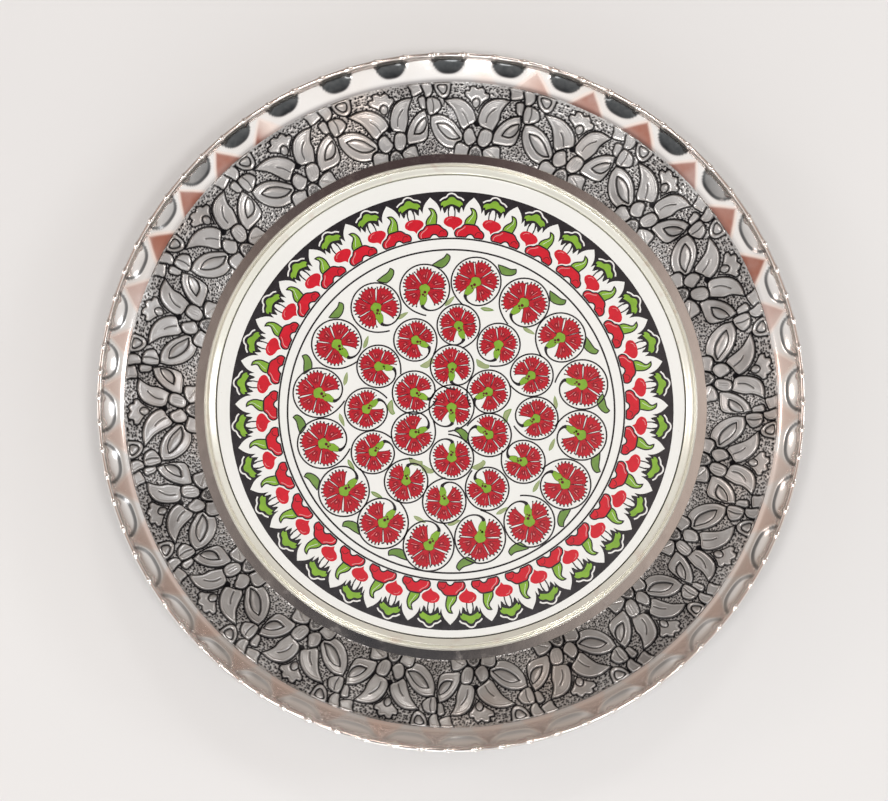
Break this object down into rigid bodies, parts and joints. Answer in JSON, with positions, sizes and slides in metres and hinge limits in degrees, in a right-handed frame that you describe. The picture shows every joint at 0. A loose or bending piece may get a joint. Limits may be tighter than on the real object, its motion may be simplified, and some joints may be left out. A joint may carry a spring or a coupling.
{
  "type": "wall plate",
  "caption": "Round embossed metal wall plate with a fluted edge, a painted ceramic disc set in a bezel, and a hanging ring on its back.",
  "frame": {"origin": "middle of the flat back that the plate rests on, at table height", "axes": "+Z out of the painted face, +Y towards the top of the plate as it hangs, +X to the right seen from the front"},
  "size_m": [0.3, 0.3, 0.034],
  "materials": {
    "silver_plate": "silver plated copper, polished on the flange and step, oxidised dark in the embossing",
    "glazed_disc": "clear glossy glaze over white ground with red, green and black painting",
    "bezel_silver": "bright polished silver plate",
    "mastic": "cured mastic",
    "solder": "dull soft solder",
    "copper_strip": "bare copper strip, slightly tarnished",
    "brass_wire": "drawn brass wire"
  },
  "bodies": {
    "plate": {"plate_sheet": "silver_plate", "ceramic_disc": "glazed_disc", "bezel_ring": "bezel_silver", "mastic_bed": "mastic", "bezel_solder": "solder", "hanger_tab": "copper_strip", "tab_solder": "solder"},
    "ring": {"hanging_ring": "brass_wire"}
  },
  "joints": [
    {"name": "ring_swing", "type": "hinge", "parent": "plate", "child": "ring", "pos_m": [0, 0.13493, 0.01597], "axis": [1, 0, 0], "range_deg": [-60, 115]}
  ]
}
